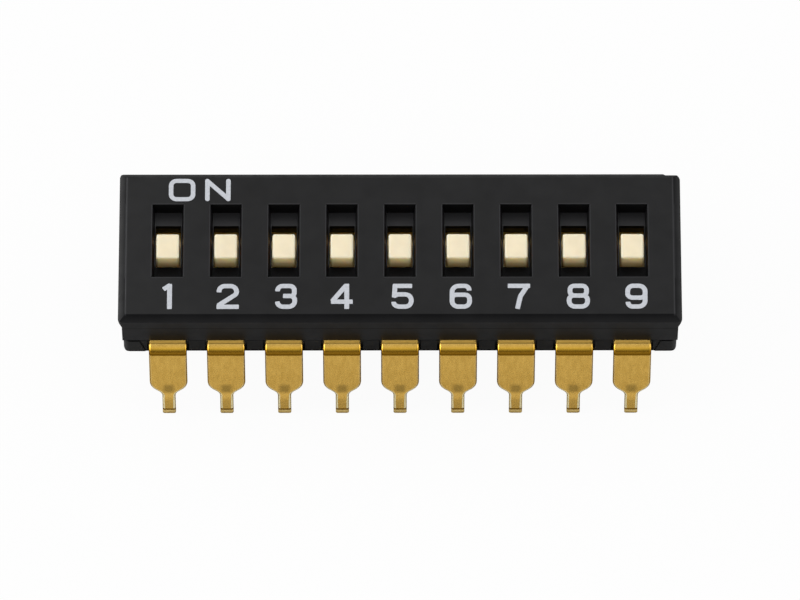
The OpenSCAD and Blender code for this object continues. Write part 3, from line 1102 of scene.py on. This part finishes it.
class DIPSWITCH_OT_contacts(bpy.types.Operator):
    """Gives the contact springs under the sliders their brass"""

    bl_idname = "dip_switch.contacts"
    bl_label = "Contacts"

    def execute(self, context):
        finish = spring_brass(context.scene.dip_colours.contact)
        for position in POSITIONS:
            contact = frame["nodes"][f"contact_{position}"]
            if not contact.material_slots:
                raise RuntimeError(f"{contact.name} has no place for a material")
            for slot in contact.material_slots:
                slot.material = finish
        return {"FINISHED"}


class DIPSWITCH_OT_print(bpy.types.Operator):
    """Prints the position numbers and the word ON on the cover"""

    bl_idname = "dip_switch.print"
    bl_label = "Print"

    def execute(self, context):
        sizes = context.scene.dip_sizes
        finish = printed_ink(context.scene.dip_colours.ink)
        top = COVER_HIGH.z
        numbers = []
        for position in POSITIONS:
            name = str(position)
            number = glyph(
                name, NUMBER_STROKES[name], sizes.ink_stroke, sizes.ink_height, sizes.ink_corner)
            place(number, slot_x(position) + sizes.number_shift, -sizes.number_row, top)
            numbers.append(number)
        letters = []
        for name, side in (("O", -1), ("N", 1)):
            letter = glyph(
                name, LETTER_STROKES[name], sizes.on_stroke, sizes.ink_height, sizes.ink_corner)
            x = slot_x(1) + sizes.on_shift + side * sizes.on_pitch / 2
            place(letter, x, sizes.on_row, top)
            letters.append(letter)
        hand_over(joined(numbers, "position_numbers"), finish, HOUSING, "print_ink")
        hand_over(joined(letters, "on_word"), finish, HOUSING, "print_ink")
        return {"FINISHED"}


class DIPSWITCH_OT_stage(bpy.types.Operator):
    """Sets up the floor, the soft light and the camera"""

    bl_idname = "dip_switch.stage"
    bl_label = "Stage"

    def execute(self, context):
        scene = context.scene
        studio = scene.dip_studio
        make_floor(studio)
        make_sky(scene, studio)
        make_camera(scene, studio)
        scene.view_settings.view_transform = "Standard"
        return {"FINISHED"}


def seen_directly(tree, *kinds):
    """One where a ray comes straight from the camera, or by a mirror or glass."""
    path = tree.nodes.new("ShaderNodeLightPath")
    total = path.outputs["Is Camera Ray"]
    for kind in kinds:
        add = tree.nodes.new("ShaderNodeMath")
        add.operation = "ADD"
        add.use_clamp = True
        tree.links.new(total, add.inputs[0])
        tree.links.new(path.outputs[kind], add.inputs[1])
        total = add.outputs["Value"]
    return total


FLOOR_WHITE = 1.0
SHADOW_SHARE = 0.05
FLOOR_COLOUR = (0.6, 0.6, 0.6)


def make_floor(studio):
    """A pale floor that looks white and keeps a faint shadow."""
    bpy.ops.object.select_all(action="DESELECT")
    bpy.ops.mesh.primitive_plane_add(size=studio.floor_size, location=(0, 0, CAD_BOX[0][2]))
    floor = named(bpy.context.active_object, "floor")
    bpy.ops.object.transform_apply(location=True, rotation=True, scale=True)
    finish = bpy.data.materials.new("pale_floor")
    finish.use_nodes = True
    tree = finish.node_tree
    tree.nodes.clear()
    matt = tree.nodes.new("ShaderNodeBsdfDiffuse")
    matt.inputs["Color"].default_value = (*FLOOR_COLOUR, 1)
    white = tree.nodes.new("ShaderNodeEmission")
    white.inputs["Strength"].default_value = FLOOR_WHITE
    share = tree.nodes.new("ShaderNodeMath")
    share.operation = "MULTIPLY"
    share.inputs[1].default_value = 1 - SHADOW_SHARE
    seen = seen_directly(tree)
    tree.links.new(seen, share.inputs[0])
    mix = tree.nodes.new("ShaderNodeMixShader")
    tree.links.new(share.outputs["Value"], mix.inputs["Fac"])
    tree.links.new(matt.outputs["BSDF"], mix.inputs[1])
    tree.links.new(white.outputs["Emission"], mix.inputs[2])
    output = tree.nodes.new("ShaderNodeOutputMaterial")
    tree.links.new(mix.outputs["Shader"], output.inputs["Surface"])
    floor.data.materials.append(finish)


# Directions of the soft lights, and the cosines of the angles from each where it fades in
OVERHEAD = ((0, 0, 1), (0.45, 0.7))
BEHIND = ((0, 0.5, 0.866), (0.8, 0.95))
FRONT = ((0, -0.64, 0.768), (0.82, 0.97))
LOW_FRONT = ((0, -0.906, 0.423), (0.85, 0.97))
LEFT = ((-1, 0, 0), (0.6, 0.9))
RIGHT = ((1, 0, 0), (0.6, 0.9))


def glow(tree, coordinates, direction, fade, strength):
    """A soft patch of light around one direction of the sky."""
    nearness = tree.nodes.new("ShaderNodeVectorMath")
    nearness.operation = "DOT_PRODUCT"
    nearness.inputs[1].default_value = direction
    tree.links.new(coordinates, nearness.inputs[0])
    patch = tree.nodes.new("ShaderNodeMapRange")
    patch.interpolation_type = "SMOOTHSTEP"
    patch.inputs["From Min"].default_value = fade[0]
    patch.inputs["From Max"].default_value = fade[1]
    patch.inputs["To Min"].default_value = 0
    patch.inputs["To Max"].default_value = strength
    tree.links.new(nearness.outputs["Value"], patch.inputs["Value"])
    return patch.outputs["Result"]


def total(tree, *values):
    """The sum of some values, each a socket or a number."""
    result = values[0]
    for value in values[1:]:
        add = tree.nodes.new("ShaderNodeMath")
        add.operation = "ADD"
        for socket, part in zip(add.inputs, (result, value)):
            if isinstance(part, bpy.types.NodeSocket):
                tree.links.new(part, socket)
            else:
                socket.default_value = part
        result = add.outputs["Value"]
    return result


def make_sky(scene, studio):
    """A dim room with soft light overhead and at the sides, that the camera sees as white."""
    sky = bpy.data.worlds.new("soft_sky")
    scene.world = sky
    sky.use_nodes = True
    tree = sky.node_tree
    tree.nodes.clear()
    coordinates = tree.nodes.new("ShaderNodeTexCoord").outputs["Generated"]
    light = tree.nodes.new("ShaderNodeBackground")
    light.inputs["Color"].default_value = (1, 1, 1, 1)
    patches = (
        (OVERHEAD, studio.sky_strength),
        (BEHIND, studio.back_strength),
        (FRONT, studio.front_strength),
        (LOW_FRONT, studio.low_strength),
        (LEFT, studio.left_strength),
        (RIGHT, studio.right_strength))
    strength = total(tree, studio.horizon_strength, *(
        glow(tree, coordinates, *patch, brightness) for patch, brightness in patches))
    tree.links.new(strength, light.inputs["Strength"])
    white = tree.nodes.new("ShaderNodeBackground")
    white.inputs["Strength"].default_value = FLOOR_WHITE
    white.inputs["Color"].default_value = (1, 1, 1, 1)
    mix = tree.nodes.new("ShaderNodeMixShader")
    tree.links.new(seen_directly(tree), mix.inputs["Fac"])
    tree.links.new(light.outputs["Background"], mix.inputs[1])
    tree.links.new(white.outputs["Background"], mix.inputs[2])
    output = tree.nodes.new("ShaderNodeOutputWorld")
    tree.links.new(mix.outputs["Shader"], output.inputs["Surface"])


# The camera shows what lies between these distances, in metres
NEAREST = 0.01
FARTHEST = 100


def make_camera(scene, studio):
    """A long lens in front of the switch, looking steeply down on the cover."""
    tilt = Matrix.Rotation(radians(90) - studio.elevation, 3, "X")
    up = tilt @ Vector((0, 1, 0))
    back = tilt @ Vector((0, 0, 1))
    aim = Vector((0, 0, COVER_HIGH.z)) - up * studio.aim_drop
    bpy.ops.object.select_all(action="DESELECT")
    bpy.ops.object.camera_add(location=aim + back * studio.distance)
    camera = named(bpy.context.active_object, "camera")
    camera.rotation_euler = (tilt @ Matrix.Rotation(studio.roll, 3, "Z")).to_euler()
    camera.data.lens = studio.lens
    camera.data.clip_start, camera.data.clip_end = NEAREST, FARTHEST
    scene.camera = camera


# ------------------------------------------------------------------------------------------
# Panel and registration
# ------------------------------------------------------------------------------------------

OPERATORS = (
    DIPSWITCH_OT_cover,
    DIPSWITCH_OT_base,
    DIPSWITCH_OT_sliders,
    DIPSWITCH_OT_leads,
    DIPSWITCH_OT_contacts,
    DIPSWITCH_OT_print,
    DIPSWITCH_OT_stage,
)


class DIPSWITCH_PT_panel(bpy.types.Panel):
    """Lists the steps that finish the switch"""

    bl_label = "DIP switch"
    bl_idname = "DIPSWITCH_PT_panel"
    bl_space_type = "VIEW_3D"
    bl_region_type = "UI"
    bl_category = "DIP switch"

    def draw(self, context):
        for step in OPERATORS:
            self.layout.operator(step.bl_idname)


GROUPS = {
    "dip_sizes": DipSwitchSizes,
    "dip_colours": DipSwitchColours,
    "dip_studio": DipSwitchStudio,
}


def register():
    for group in GROUPS.values():
        bpy.utils.register_class(group)
    for name, group in GROUPS.items():
        setattr(bpy.types.Scene, name, PointerProperty(type=group))
    for step in OPERATORS:
        bpy.utils.register_class(step)
    bpy.utils.register_class(DIPSWITCH_PT_panel)


def unregister():
    bpy.utils.unregister_class(DIPSWITCH_PT_panel)
    for step in reversed(OPERATORS):
        bpy.utils.unregister_class(step)
    for name in GROUPS:
        delattr(bpy.types.Scene, name)
    for group in reversed(GROUPS.values()):
        bpy.utils.unregister_class(group)


def main():
    register()
    bpy.ops.dip_switch.cover()
    bpy.ops.dip_switch.base()
    bpy.ops.dip_switch.sliders()
    bpy.ops.dip_switch.leads()
    bpy.ops.dip_switch.contacts()
    bpy.ops.dip_switch.print()
    bpy.ops.dip_switch.stage()


if __name__ == "__main__":
    main()
